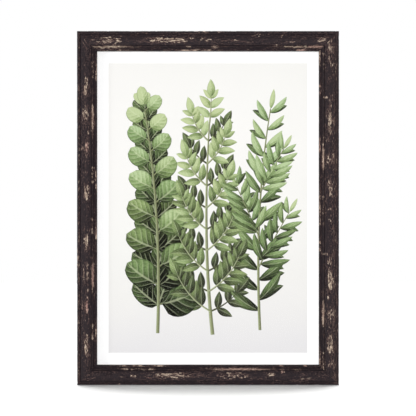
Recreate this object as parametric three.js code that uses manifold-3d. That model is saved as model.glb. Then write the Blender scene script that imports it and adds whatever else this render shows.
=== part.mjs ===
// Framed botanical print that hangs upright on a wall.
//
// Millimetres. +X is to the viewer's right, +Z is up and -Y points from the wall to the viewer.
// The origin is the point where a nail in the wall carries the hanger, on the wall's own surface.

import * as THREE from 'three';
import { mergeVertices } from 'three/addons/utils/BufferGeometryUtils.js';
import Module from 'manifold-3d';

const wasm = await Module();
wasm.setup();

// Driving dimensions of the frame
const SIGHT_WIDTH = 290;
const SIGHT_HEIGHT = 410;
const RAIL_WIDTH = 26;
const RAIL_DEPTH = 22;
const RABBET_WIDTH = 6;
const RABBET_DEPTH = 11;
const MITRE_GAP = 0.2;
const WALL_GAP = 3;
const HANG_DROP = 15;

// What lies in the rabbet, from the front to the back
const PANE_CLEARANCE = 1;
const GLAZING_THICKNESS = 2;
const SHEET_WIDTH = 297;
const SHEET_HEIGHT = 420;
const SHEET_THICKNESS = 0.5;
const BACKING_THICKNESS = 3;

// Room round a fastener in its slot or hole
const FASTENER_CLEARANCE = 0.3;

// Steel tabs that hold the backing in
const TAB = { length: 17, width: 8, thickness: 0.5, driven: 7, point: 3 };
const TABS_ACROSS = [-75, 75];
const TABS_UPRIGHT = [-130, 0, 130];

// Angled nails across each mitre, as distances from the outer edges
const V_NAIL = { leg: 5.5, thickness: 0.6, height: 8, sunk: 0.3 };
const V_NAIL_PLACES = { outer: 6, inner: 13 };

// Sawtooth hanger and its screws
const HANGER = { width: 45, height: 11, thickness: 1, corner: 2, raise: 1.25, flat: 7, ramp: 2 };
const TOOTH = { pitch: 2.5, depth: 1.25, count: 9 };
const SCREW = { x: 18.75, z: 4, head: 2.8, headHeight: 1.3, shank: 1.1, length: 9, sides: 20 };
const SCREW_CROSS = { length: 3, width: 0.7, depth: 0.8 };

// Rubber bumpers that keep the lower corners off the wall
const BUMPER = { radius: 5, inset: 16, rise: 10, sides: 32 };

// Sizes that follow from the driving ones
const OUTER_WIDTH = SIGHT_WIDTH + 2 * RAIL_WIDTH;
const OUTER_HEIGHT = SIGHT_HEIGHT + 2 * RAIL_WIDTH;
const PANE_WIDTH = SIGHT_WIDTH + 2 * (RABBET_WIDTH - PANE_CLEARANCE);
const PANE_HEIGHT = SIGHT_HEIGHT + 2 * (RABBET_WIDTH - PANE_CLEARANCE);
const WALL_WIDTH = RAIL_WIDTH - RABBET_WIDTH;
const GLAZING_BACK = RABBET_DEPTH - GLAZING_THICKNESS;
const SHEET_BACK = GLAZING_BACK - SHEET_THICKNESS;
const BACKING_BACK = SHEET_BACK - BACKING_THICKNESS;

const distressedWood = new THREE.MeshStandardMaterial({ color: 0x2d272a, roughness: 0.62 });
const glass = new THREE.MeshStandardMaterial({
  color: 0xf4faf8,
  roughness: 0.05,
  transparent: true,
  opacity: 0.15,
});
const printedPaper = new THREE.MeshStandardMaterial({ color: 0xf3f2ee, roughness: 0.9 });
const fibreboard = new THREE.MeshStandardMaterial({ color: 0x9c7a57, roughness: 0.85 });
const zincSteel = new THREE.MeshStandardMaterial({
  color: 0xa9abad,
  roughness: 0.4,
  metalness: 0.9,
});
const brightSteel = new THREE.MeshStandardMaterial({
  color: 0xc0c1c2,
  roughness: 0.3,
  metalness: 1,
});
const blackRubber = new THREE.MeshStandardMaterial({ color: 0x1b1b1c, roughness: 0.8 });

function toSolid(geometry) {
  const bare = geometry.clone();
  bare.deleteAttribute('normal');
  bare.deleteAttribute('uv');
  const merged = mergeVertices(bare);
  return new wasm.Manifold(new wasm.Mesh({
    numProp: 3,
    vertProperties: merged.attributes.position.array,
    triVerts: Uint32Array.from(merged.index.array),
  }));
}

function toGeometry(solid) {
  const { vertProperties, triVerts } = solid.getMesh();
  const geometry = new THREE.BufferGeometry();
  geometry.setAttribute('position', new THREE.BufferAttribute(vertProperties, 3));
  geometry.setIndex(new THREE.BufferAttribute(triVerts, 1));
  geometry.computeVertexNormals();
  return geometry;
}

function cutFrom(geometry, cutters) {
  const cut = cutters.reduce(
    (solid, cutter) => solid.subtract(toSolid(cutter)),
    toSolid(geometry),
  );
  return toGeometry(cut);
}

function extrude(shape, depth, curveSegments = 6) {
  return new THREE.ExtrudeGeometry(shape, { depth, curveSegments, bevelEnabled: false });
}

// Turns a shape that was drawn in X and Y and extruded in Z, so that it is drawn in X and Z
// and extruded towards the viewer from y = 0.
function standUp(geometry) {
  return geometry.rotateX(Math.PI / 2);
}

function named(name, geometry, material) {
  const mesh = new THREE.Mesh(geometry, material);
  mesh.name = name;
  return mesh;
}

// The moulding's section: x runs from the outer edge to the sight edge and y from the back
// to the front. A bead, a groove, a broad crowned face, a thin ridge, a cove and a lip.
function mouldingSection() {
  const bead = { side: 19.5, top: 20.75, crest: 2, end: 4 };
  const groove = { floor: 19.25, end: 4.75 };
  const face = { start: 5, from: 20.25, pull: 2 * RAIL_DEPTH - 20.5, end: 18.75, to: 20.75 };
  const ridge = { foot: 20, start: 19, pull: 22.75, end: 21 };
  const cove = { start: 21.5, from: 18.75, pull: 17.75, end: 23.75, to: 18.5 };
  const lip = { start: 24.25, from: 19.25, pull: 19.5, to: 17.75 };
  const section = new THREE.Shape();
  section.moveTo(0, 0);
  section.lineTo(0, bead.side);
  section.quadraticCurveTo(0, bead.top, bead.crest, bead.top);
  section.quadraticCurveTo(bead.end - 0.25, bead.top, bead.end, groove.floor);
  section.lineTo(groove.end, groove.floor);
  section.lineTo(face.start, face.from);
  section.quadraticCurveTo((face.start + face.end) / 2, face.pull, face.end, face.to);
  section.lineTo(ridge.start, ridge.foot);
  section.quadraticCurveTo((ridge.start + ridge.end) / 2, ridge.pull, ridge.end, ridge.foot);
  section.lineTo(cove.start, cove.from);
  section.quadraticCurveTo((cove.start + cove.end) / 2, cove.pull, cove.end, cove.to);
  section.lineTo(lip.start, lip.from);
  section.quadraticCurveTo(RAIL_WIDTH - 0.25, lip.pull, RAIL_WIDTH, lip.to);
  section.lineTo(RAIL_WIDTH, RABBET_DEPTH);
  section.lineTo(WALL_WIDTH, RABBET_DEPTH);
  section.lineTo(WALL_WIDTH, 0);
  section.closePath();
  return section;
}

// One mitred rail, lying along X as the top rail does, with its outer edge at z = 0 and its
// back at y = 0.
function railBar(length) {
  const bar = extrude(mouldingSection(), length);
  bar.translate(0, 0, -length / 2);
  const across = new THREE.Vector3(0, 0, -1);
  const forward = new THREE.Vector3(0, -1, 0);
  const along = new THREE.Vector3(-1, 0, 0);
  bar.applyMatrix4(new THREE.Matrix4().makeBasis(across, forward, along));

  const half = length / 2 - MITRE_GAP / 2;
  const spare = 5;
  const plan = new THREE.Shape();
  plan.moveTo(-half - spare, spare);
  plan.lineTo(-half + RAIL_WIDTH + spare, -RAIL_WIDTH - spare);
  plan.lineTo(half - RAIL_WIDTH - spare, -RAIL_WIDTH - spare);
  plan.lineTo(half + spare, spare);
  plan.closePath();
  const wedge = standUp(extrude(plan, RAIL_DEPTH + 2 * spare)).translate(0, spare, 0);
  return toGeometry(toSolid(bar).intersect(toSolid(wedge)));
}

// A steel tab along Z: its pointed end is driven up into the rabbet's wall, which is at z = 0,
// and its round end lies over the backing. Its front face is at y = -thickness.
function tabBlade() {
  const half = TAB.width / 2;
  const free = TAB.driven - TAB.length;
  const outline = new THREE.Shape();
  outline.moveTo(-half, free + half);
  outline.absarc(0, free + half, half, Math.PI, 2 * Math.PI);
  outline.lineTo(half, TAB.driven - TAB.point);
  outline.lineTo(0, TAB.driven);
  outline.lineTo(-half, TAB.driven - TAB.point);
  outline.closePath();
  return standUp(extrude(outline, TAB.thickness, 10));
}

function tabSlot() {
  const grow = 2 * FASTENER_CLEARANCE;
  const slot = new THREE.BoxGeometry(TAB.width + grow, TAB.thickness + grow, 2 * TAB.driven + grow);
  return slot.translate(0, -TAB.thickness / 2, 0);
}

// An angled nail for the top right corner, seen from the front: its apex is at x = 0, z = 0,
// and its legs run left and down. With grow it is the slot that the nail is driven into.
function vNail(grow) {
  const half = V_NAIL.thickness / 2 + grow;
  const reach = V_NAIL.leg + grow;
  const outline = new THREE.Shape();
  outline.moveTo(half, half);
  outline.lineTo(-reach, half);
  outline.lineTo(-reach, -half);
  outline.lineTo(-half, -half);
  outline.lineTo(-half, -reach);
  outline.lineTo(half, -reach);
  outline.closePath();
  const height = grow ? V_NAIL.height + 2 * V_NAIL.sunk + grow : V_NAIL.height;
  const start = grow ? V_NAIL.sunk : -V_NAIL.sunk;
  return standUp(extrude(outline, height)).translate(0, start, 0);
}

// The hanger's strip, measured from the nail: flat ends on the rail, a raised middle, and
// teeth along its lower edge with a notch over the nail.
function hangerStrip() {
  const half = HANGER.width / 2;
  const low = -TOOTH.depth;
  const top = low + HANGER.height;
  const round = HANGER.corner;
  const outline = new THREE.Shape();
  outline.moveTo(-half, low + round);
  outline.absarc(-half + round, low + round, round, Math.PI, 1.5 * Math.PI);
  for (let i = 0; i < TOOTH.count; i += 1) {
    const notch = (i - (TOOTH.count - 1) / 2) * TOOTH.pitch;
    outline.lineTo(notch - TOOTH.pitch / 2, low);
    outline.lineTo(notch, 0);
  }
  outline.lineTo((TOOTH.count * TOOTH.pitch) / 2, low);
  outline.absarc(half - round, low + round, round, -0.5 * Math.PI, 0);
  outline.absarc(half - round, top - round, round, 0, 0.5 * Math.PI);
  outline.absarc(-half + round, top - round, round, 0.5 * Math.PI, Math.PI);
  const plate = standUp(extrude(outline, HANGER.raise + HANGER.thickness, 4));
  plate.translate(0, HANGER.raise + HANGER.thickness, 0);

  const foot = half - HANGER.flat;
  const shoulder = foot - HANGER.ramp;
  const under = [[half, 0], [foot, 0], [shoulder, HANGER.raise]];
  const underside = [...under, ...under.map(([x, y]) => [-x, y]).reverse()];
  const backside = underside.map(([x, y]) => [x, y + HANGER.thickness]).reverse();
  const edge = new THREE.Shape([...underside, ...backside].map(([x, y]) => new THREE.Vector2(x, y)));
  const spare = 2;
  const strip = extrude(edge, HANGER.height + 2 * spare).translate(0, 0, low - spare);
  return toGeometry(toSolid(plate).intersect(toSolid(strip)));
}

function screwHole() {
  const radius = SCREW.shank + FASTENER_CLEARANCE;
  const depth = SCREW.length + FASTENER_CLEARANCE;
  const above = 2 * HANGER.thickness;
  const hole = new THREE.CylinderGeometry(radius, radius, depth + above, SCREW.sides);
  return hole.translate(0, (above - depth) / 2, 0);
}

// A screw along Y. The underside of its head is at y = 0 and its point is towards the viewer.
function screw() {
  const tip = -SCREW.length;
  const profile = [
    [0, tip],
    [SCREW.shank, tip + 2 * SCREW.shank],
    [SCREW.shank, 0],
    [SCREW.head, 0],
    [SCREW.head, 0.4 * SCREW.headHeight],
    [0.8 * SCREW.head, 0.85 * SCREW.headHeight],
    [0.4 * SCREW.head, SCREW.headHeight],
    [0, SCREW.headHeight],
  ].map(([x, y]) => new THREE.Vector2(x, y));
  const body = new THREE.LatheGeometry(profile, SCREW.sides);
  const crossHeight = SCREW.headHeight;
  const slots = [
    new THREE.BoxGeometry(SCREW_CROSS.length, crossHeight, SCREW_CROSS.width),
    new THREE.BoxGeometry(SCREW_CROSS.width, crossHeight, SCREW_CROSS.length),
  ];
  const floor = SCREW.headHeight - SCREW_CROSS.depth;
  slots.forEach((slot) => slot.translate(0, floor + crossHeight / 2, 0));
  return cutFrom(body, slots);
}

// A rubber bumper along Y, stuck to the rail at y = 0, with a flat end against the wall.
function bumper() {
  const profile = [
    [0, 0],
    [BUMPER.radius, 0],
    [BUMPER.radius, 0.5 * WALL_GAP],
    [0.92 * BUMPER.radius, 0.8 * WALL_GAP],
    [0.78 * BUMPER.radius, WALL_GAP],
    [0, WALL_GAP],
  ].map(([x, y]) => new THREE.Vector2(x, y));
  return new THREE.LatheGeometry(profile, BUMPER.sides);
}

// The four rails in turn: how far each is turned about Y from the top rail, its length, how
// far its outer edge is from the middle, and where its tabs are.
const RAILS = [
  { side: 'top', turns: 0, length: OUTER_WIDTH, reach: OUTER_HEIGHT / 2, tabs: TABS_ACROSS },
  { side: 'right', turns: 1, length: OUTER_HEIGHT, reach: OUTER_WIDTH / 2, tabs: TABS_UPRIGHT },
  { side: 'bottom', turns: 2, length: OUTER_WIDTH, reach: OUTER_HEIGHT / 2, tabs: TABS_ACROSS },
  { side: 'left', turns: 3, length: OUTER_HEIGHT, reach: OUTER_WIDTH / 2, tabs: TABS_UPRIGHT },
];
const CORNERS = [
  { corner: 'top_right', turns: 0, x: OUTER_WIDTH / 2, z: OUTER_HEIGHT / 2 },
  { corner: 'bottom_right', turns: 1, x: OUTER_WIDTH / 2, z: -OUTER_HEIGHT / 2 },
  { corner: 'bottom_left', turns: 2, x: -OUTER_WIDTH / 2, z: -OUTER_HEIGHT / 2 },
  { corner: 'top_left', turns: 3, x: -OUTER_WIDTH / 2, z: OUTER_HEIGHT / 2 },
];

function quarterTurn(turns) {
  return new THREE.Euler(0, (turns * Math.PI) / 2, 0);
}

// Where each corner's angled nails go, as meshes and as the slots that the rails need.
function cornerNails() {
  return CORNERS.flatMap(({ corner, turns, x, z }) => (
    Object.entries(V_NAIL_PLACES).map(([place, inset]) => {
      const nail = named(`v_nail_${corner}_${place}`, vNail(0), brightSteel);
      nail.rotation.copy(quarterTurn(turns));
      nail.position.set(x - Math.sign(x) * inset, 0, z - Math.sign(z) * inset);
      nail.updateMatrix();
      const slot = vNail(FASTENER_CLEARANCE).applyMatrix4(nail.matrix);
      return { nail, slot };
    })
  ));
}

// One side of the frame: its rail, cut for every fastener that enters it, and its tabs.
function frameSide({ side, turns, length, reach, tabs }, slots) {
  const group = new THREE.Group();
  group.rotation.copy(quarterTurn(turns));
  group.updateMatrix();
  const fromMiddle = group.matrix.clone().invert();
  const cutters = slots.map((slot) => slot.clone().applyMatrix4(fromMiddle));

  tabs.forEach((along, i) => {
    const tab = named(`tab_${side}_${i + 1}`, tabBlade(), zincSteel);
    tab.position.set(along, TAB.thickness - BACKING_BACK, reach - WALL_WIDTH);
    tab.updateMatrix();
    group.add(tab);
    cutters.push(tabSlot().applyMatrix4(tab.matrix));
  });

  const bar = railBar(length).translate(0, 0, reach);
  group.add(named(`rail_${side}`, cutFrom(bar, cutters), distressedWood));
  return group;
}

function sheet(name, width, height, thickness, back, material) {
  const mesh = named(name, new THREE.BoxGeometry(width, thickness, height), material);
  mesh.position.y = -back - thickness / 2;
  return mesh;
}

// The hanger, its screws and the holes that they need in the top rail, measured from the nail.
function hangerSet() {
  const group = new THREE.Group();
  const places = { left: -SCREW.x, right: SCREW.x };
  const holes = Object.values(places).map((x) => screwHole().translate(x, 0, SCREW.z));
  group.add(named('sawtooth_hanger', cutFrom(hangerStrip(), holes), zincSteel));
  Object.entries(places).forEach(([side, x]) => {
    const mesh = named(`hanger_screw_${side}`, screw(), brightSteel);
    mesh.position.set(x, HANGER.thickness, SCREW.z);
    group.add(mesh);
  });
  return { group, holes };
}

// Everything below is placed from the middle of the rails' back, where y = 0 is the plane
// that the rails' backs lie in.
const frame = new THREE.Group();
frame.position.set(0, -WALL_GAP, HANG_DROP - OUTER_HEIGHT / 2);

const nailHeight = OUTER_HEIGHT / 2 - HANG_DROP;
const hanger = hangerSet();
hanger.group.position.z = nailHeight;
frame.add(hanger.group);
const hangerHoles = hanger.holes.map((hole) => hole.clone().translate(0, 0, nailHeight));

const nails = cornerNails();
nails.forEach(({ nail }) => frame.add(nail));
const railSlots = [...nails.map(({ slot }) => slot), ...hangerHoles];
RAILS.forEach((rail) => frame.add(frameSide(rail, railSlots)));

frame.add(sheet('glazing', PANE_WIDTH, PANE_HEIGHT, GLAZING_THICKNESS, GLAZING_BACK, glass));
frame.add(
  sheet('print_sheet', SHEET_WIDTH, SHEET_HEIGHT, SHEET_THICKNESS, SHEET_BACK, printedPaper),
);
frame.add(
  sheet('backing_board', PANE_WIDTH, PANE_HEIGHT, BACKING_THICKNESS, BACKING_BACK, fibreboard),
);

Object.entries({ left: -1, right: 1 }).forEach(([side, sign]) => {
  const mesh = named(`bumper_${side}`, bumper(), blackRubber);
  mesh.position.set(sign * (OUTER_WIDTH / 2 - BUMPER.inset), 0, -OUTER_HEIGHT / 2 + BUMPER.rise);
  frame.add(mesh);
});

const framedPrint = new THREE.Group();
framedPrint.add(frame);

export default framedPrint;
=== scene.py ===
"""A framed botanical print: a worn dark moulding, a pane, a printed sheet and the fixings behind them.

Metres, in the frame of the CAD model: +X is to the viewer's right, +Z is up and -Y is towards the viewer.
Lengths named in millimetres are turned into metres by MM.
"""

import math

import bmesh
import bpy
import numpy as np
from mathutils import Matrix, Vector


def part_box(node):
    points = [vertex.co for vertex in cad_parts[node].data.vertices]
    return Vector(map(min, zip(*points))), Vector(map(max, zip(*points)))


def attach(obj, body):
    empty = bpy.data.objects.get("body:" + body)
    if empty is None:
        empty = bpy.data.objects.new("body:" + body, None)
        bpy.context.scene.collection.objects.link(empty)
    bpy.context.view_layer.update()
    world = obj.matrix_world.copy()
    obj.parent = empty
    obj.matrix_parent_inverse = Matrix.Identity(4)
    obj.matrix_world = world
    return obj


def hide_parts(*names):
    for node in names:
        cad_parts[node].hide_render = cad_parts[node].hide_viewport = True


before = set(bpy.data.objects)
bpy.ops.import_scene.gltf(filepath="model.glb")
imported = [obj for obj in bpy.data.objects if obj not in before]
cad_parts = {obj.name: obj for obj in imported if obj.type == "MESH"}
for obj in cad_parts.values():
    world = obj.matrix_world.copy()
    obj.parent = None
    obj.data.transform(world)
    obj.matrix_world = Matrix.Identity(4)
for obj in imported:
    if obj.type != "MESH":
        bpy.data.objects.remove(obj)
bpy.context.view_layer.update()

MM = 0.001
RIGHT = Vector((1, 0, 0))
UP = Vector((0, 0, 1))
TO_VIEWER = Vector((0, -1, 0))
WHITE = (1, 1, 1, 1)

# The frame's outer sides, from the CAD nodes
LEFT_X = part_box("rail_left")[0][0]
RIGHT_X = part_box("rail_right")[1][0]
BOTTOM_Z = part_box("rail_bottom")[0][2]
TOP_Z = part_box("rail_top")[1][2]
BACK_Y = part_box("rail_top")[1][1]
FRONT_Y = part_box("rail_top")[0][1]
MIDDLE_Z = (BOTTOM_Z + TOP_Z) / 2

# The camera looks straight at the frame, and sees this width at the rails' front
CAMERA_DISTANCE = 3.0
SEEN_WIDTH = 0.54266
SENSOR_WIDTH = 36

# The moulding's section in millimetres: in from the outer edge, then up from the back. Two
# numbers are a straight step to a point, and four are a curve's pull and its end.
SECTION = (
    (0, 19.5), (0, 20.75, 2, 20.75), (3.75, 20.75, 4, 19.25), (4.75, 19.25), (5, 20.25),
    (11.875, 23.5, 18.75, 20.75), (19, 20), (20, 22.75, 21, 20), (21.5, 18.75),
    (22.625, 17.75, 23.75, 18.5), (24.25, 19.25), (25.75, 19.5, 26, 17.75),
    (26, 11), (20, 11), (20, 0), (0, 0),
)
# The section's width, and heights above its back: where its front starts, how far its outer and
# inner sides go up, and the rabbet's floor
RAIL_WIDTH = 26
FRONT_FROM = 17.5
OUTER_TOP = 19.5
INNER_TOP = 17.75
RABBET_FLOOR = 11
# Edges that turn by more than this are sharp
SHARP_TURN = math.radians(40)
# Each rail stops this far short of the mitre's plane
MITRE_GAP = 0.02
# How far apart the section's points are, on the front and elsewhere
FINE_STEP = 0.36
COARSE_STEP = 1.3
# Each rail is cut across this often, and then each stretch of it as often again
LENGTHWISE_CUTS = 23
# A vertex this close to a side of the section lies on it
ON_SIDE = 0.01
# A place across the rail that no mark reaches
OFF_THE_FRONT = 60
# How far the paint runs over the unpainted back, and the patches that make its edge ragged
PAINT_OVERLAP = 1.5
LARGE_RAGS = (23, 9)
SMALL_RAGS = (4.7, 3)
# How wide the dark line is where two rails meet at the back
JOINT_LINE = 0.6

# Where painted shade darkens the paint in the grooves and by the lip: how far in from the rail's outer
# edge, how wide and how strongly.
# Each rail has its own bands of painted shade near its outer edge.
PAINTED_SHADE_BANDS = ((17.2, 1.8, 0.3), (18.7, 0.5, 0.7), (22.6, 0.8, 0.75), (26.2, 1.2, 0.9))
EDGE_PAINTED_SHADE = {
    "left": ((0.9, 0.7, 0.3), (4.5, 0.8, 0.9), (7.2, 2.2, 0.3)),
    "right": ((1.2, 1, 1),),
    "top": ((0.9, 1.2, 1), (4.6, 1.2, 0.5), (8.6, 1.6, 0.3)),
    "bottom": ((2.1, 0.8, 0.75), (4.6, 0.8, 0.35)),
}
# Where fine scuffs dull the paint, in the same way. On the left rail the band lies on its outer bead and
# is also a painted highlight, lighter where the side light falls.
SCUFFS_AND_HIGHLIGHT = {
    "left": (2.7, 1, 0.3), "right": (5.4, 3.6, 0.21), "top": (2.7, 1, 0.1), "bottom": (2.9, 1, 0),
}

# The wood's relief in millimetres: how deep it goes, and its patches' length and width. Chips lie
# round the outer edge, which has this place and width.
PORE_DEPTH = 0.09
PORES = (14, 0.55)
BARE_DEPTH = 0.16
FIBRES = (5, 0.5)
DENT_DEPTH = 0.08
DENTS = (9, 6)
CHIP_DEPTH = 0.55
CHIP_LENGTH = 4.5
OUTER_EDGE = (0.6, 1.3)
# The patches that break up the wear: their length, their width and their share of the whole
DASHES = (3.4, 0.8, 0.36)
STREAKS = ((9, 1.1, 0.27), DASHES, (1.3, 0.6, 0.37))
SCUFFS = ((4.5, 0.9, 0.45), (1.8, 0.7, 0.55))
SCUFF_STRENGTH = 0.45
# How much they break up a worn place, and the levels over which wood shows
BREAK_UP = 3.4
BARE_LEVELS = (0.38, 1.25)
SCUFF_LEVELS = (0.6, 1.05)
# The wear leans a little to and fro along the grain, in patches of this size
SLANT = 2
SLANTS = (20, 8)

# Where the paint is worn, in millimetres along the rail and in from its outer edge. A mark is
# its start, end, near side, far side, strength and, unless it is plain, how pink its wood is. The
# upright rails are measured from the top and the level ones from the left. Marks on the ridge and
# the lip all have the same place across the rail.
PLAIN_PINK = 0.1
ON_RIDGE = (19.3, 21.8)
ON_LIP = (23.8, 25.8)
WORN_FACE = {
    "left": (
        (60, 72, 10.3, 14.4, 0.75), (70, 84, 9, 13, 1), (99, 120, 7.8, 14.4, 0.7),
        (130, 135, 13.4, 15.8, 0.6), (142, 164, 10.8, 15, 0.8, 0.8), (145, 155, 11.3, 14.5, 1, 0.8),
        (151, 159, 5.7, 8.9, 0.5, 0.5), (181, 189, 8.1, 11.5, 0.4), (198, 220, 9.3, 15.4, 0.7),
        (208, 218, 10, 13, 1), (265, 288, 9.3, 15, 0.7), (275, 283, 10.3, 14, 0.95),
        (304, 325, 7.3, 9.7, 0.8), (304, 325, 12.8, 15.2, 0.75), (336, 341, 12.8, 16, 0.75),
        (347, 368, 10.8, 15, 0.8, 0.9), (355, 362, 11.3, 14.5, 1, 0.9), (356, 365, 6, 9, 0.5, 0.6),
        (396, 426, 9.8, 15, 0.75), (402, 420, 10.3, 14, 0.95), (380, 388, 0.5, 3.5, 0.35, 0),
        (425, 450, 0.5, 3.5, 0.35, 0),
    ),
    "right": (
        (12, 29, 9, 15.5, 0.8), (31, 48, 8, 15, 0.35), (85, 88, 15, 21, 0.7, 0.2),
        (88, 100, 10, 13.6, 0.5), (105, 134, 10, 14.4, 1, 0), (116, 123, 5.6, 8, 0.5),
        (140, 145, 13, 16, 0.8), (159, 176, 6, 16, 0.55), (194, 215, 8.6, 15.5, 0.7),
        (231, 234, 8, 15, 0.6), (245, 249, 8, 14, 0.35), (290, 292.5, 14, 21, 0.7, 0.2),
        (294, 305, 9, 15, 0.6), (312, 338, 9, 14, 0.95, 0), (321, 330, 6, 8, 0.5),
        (346, 350, 12.5, 16, 0.8), (363, 382, 7, 15.5, 0.55), (397, 420, 8.5, 15.5, 0.75),
        (430, 438, 9, 15, 0.5, 0.2),
    ),
    "top": (
        (24, 57, 7.8, 17.5, 0.55), (96, 143, 8.8, 15, 0.9), (147, 153, 7.8, 11.5, 0.4),
        (161, 176, 8.8, 14, 0.45), (197, 207, 9.8, 14, 0.4), (158.5, 161.5, 0, 2, 0.6, 0),
        (183, 190, 0, 2, 0.6, 0), (226, 240, 6.2, 7.6, 0.4, 0), (238, 253, 3.6, 5.2, 0.4, 0),
        (265, 270, 3, 8.5, 0.45, 0), (277, 285, 13, 16, 0.8), (257, 263, 17, 20, 0.5),
        (313, 325, 8.8, 15, 0.7),
    ),
    "bottom": (
        (70, 77, 9.5, 13.5, 0.7), (90, 98, 4, 11, 0.45, 0.8), (101, 149, 9.6, 15.6, 0.85),
        (54.5, 57.5, 0, 2, 0.6, 0), (187, 222, 8, 16, 0.55), (249, 259, 12, 16, 0.75),
        (266, 271, 14, 21, 0.6, 0.6), (280, 293, 4, 5.5, 0.4, 0), (292, 307, 7, 9, 0.4, 0),
    ),
}
WORN_RIDGE = {
    "left": (
        (38, 61, 0.55, 0.2), (39, 43, 0.9, 0.2), (57, 61, 0.9, 0.2), (97, 129, 1.6, 0.5),
        (177, 180, 0.8, 0.2), (180, 194, 0.5, 0.2), (195, 198.5, 1), (244, 248, 0.8, 0.2),
        (247, 262, 0.5, 0.2), (261, 265, 1), (302, 336, 1.6, 0.9), (382, 386, 0.9), (385, 400, 0.5, 0.2),
        (399, 403, 0.9),
    ),
    "right": (
        (28, 50, 0.4, 0.2), (28, 31, 0.7), (47, 50, 0.7), (147, 180, 1.45, 0.4), (215, 218, 0.8),
        (217, 241, 0.5, 0.3), (250, 254, 0.8), (353, 385, 1.45, 0.4), (419, 423, 0.8),
        (421, 446, 0.55, 0.2), (436, 440, 0.8),
    ),
    "top": (
        (21, 65, 1.5), (143, 149, 0.8, 0.2), (175, 186, 0.75, 0.2), (269, 322, 0.95),
        (284, 295, 1.5, 0.2), (300, 321, 1.6, 0.8),
    ),
    "bottom": (
        (57, 67, 0.9), (69, 91, 0.55), (93, 100, 0.85), (179, 246, 1.4, 0.7), (179, 183, 1),
        (274, 277, 0.7), (281, 296, 0.4),
    ),
}
WORN_LIP = {
    "left": ((39, 66, 0.7, 0.3), (178, 205, 0.7, 0.3), (244, 272, 0.7, 0.3), (382, 408, 0.7, 0.3)),
    "right": (
        (26, 51, 0.7, 0.3), (70, 73, 1.1, 0.8), (79, 82, 1.1, 0.8), (138, 160, 0.5, 0.8),
        (209, 255, 0.7, 0.3), (274, 278, 1.1, 0.3), (283, 287, 1.1, 0.3), (413, 435, 0.75, 0.3),
    ),
    "top": ((26, 66, 0.5, 0.3), (130, 187, 0.75, 0.3), (286, 299, 0.85, 0.8)),
    "bottom": ((57, 115, 0.75, 0.3), (264, 269, 1, 0.8), (296, 300, 1, 0.8)),
}
# Scratches, from start to end, each place along the rail and in from its outer edge
SCRATCH_WIDTH = 0.5
SCRATCHES = {
    "left": ((13, 6.4, 22.7, 13), (11, 9.5, 19, 15)),
    "right": (
        (439.6, 10.6, 434.2, 11.5), (434.2, 11.5, 429.5, 8.9), (429.5, 8.9, 433.6, 5.9),
        (433.6, 5.9, 439.6, 6.9), (118, 4.5, 130, 8.5),
    ),
    "top": ((204, 12, 226, 15), (228, 7, 236, 4)),
    "bottom": ((280.5, 4.1, 306.4, 10), (13, 5.4, 24, 10.4), (158, 13, 178, 9)),
}

# The sheet, its printed field and its layers of ink, in millimetres
FIELD_HALF_WIDTH = 130.3
FIELD_HALF_HEIGHT = 189.8
PAPER_THICKNESS = 0.18
PAPER_EDGE = 0.4
INK_THICKNESS = 0.012
INK_LAYER = 0.02
INK_DEPTH = 0.27

# The main stems' foot, pull and top, in millimetres from the sheet's middle
ROUND_LEAVED_STEM = np.array(((-66, -164), (-60, -10), (-84, 136)), float)
FEATHERED_STEM = np.array(((6, -166), (-8, -40), (2, 112)), float)
SLIM_LEAVED_STEM = np.array(((68, -160), (60, 0), (82, 130)), float)
# The slim-leaved stem's side shoots: how far up it they start, their angle and their reach
SLIM_SHOOTS = ((0.26, 29, 84), (0.4, -24, 74), (0.6, 28, 64))
FRONDS = 9
SEED = 7

# The maps that the colours are baked on, in shares of a map. A rail's halves are two strips with
# its two ends in a corner above them. A leaf has a tile with its top and its small back.
STRIP_EDGE = 0.004
STRIP_HEIGHT = 0.478
STRIP_PITCH = 0.482
ENDS_X = 0.01
ENDS_Y = 0.975
ENDS_HEIGHT = 0.02
ENDS_PITCH = 0.4
ENDS_REACH = 0.06
ENDS_SHRINK = 0.3
TILE_EDGE = 0.02
TILE_TOP = 0.92
TILE_BACK = 0.02

# The pane's coating makes it mirror less than plain glass would
COATED_GLASS_IOR = 1.12

# The floor, whose gap is in millimetres, and the surround's strength as seen and as a light
FLOOR_SIZE = 8
FLOOR_GAP = 0.5
FLOOR_GLOW = 0.16
SURROUND_SEEN = 1.0
SURROUND_LIGHT = 0.27
# Each light's name, the way towards it, its strength and its width in degrees
LIGHTS = (
    ("front_light", (0, -1, 0.02), 2.55, 2),
    ("side_light", (-1, -0.62, 0.1), 0.8, 14),
    ("rear_light", (0, 0.42, 0.907), 5.6, 40),
)


class Nodes:
    """A tree of shader nodes."""

    def __init__(self, owner):
        owner.use_nodes = True
        self.tree = owner.node_tree

    def put(self, socket, value):
        if isinstance(value, bpy.types.NodeSocket):
            self.tree.links.new(value, socket)
        else:
            socket.default_value = value

    def node(self, kind, inputs, **settings):
        node = self.tree.nodes.new("ShaderNode" + kind)
        for name, value in settings.items():
            setattr(node, name, value)
        for place, value in inputs.items():
            self.put(node.inputs[place], value)
        return node


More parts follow.
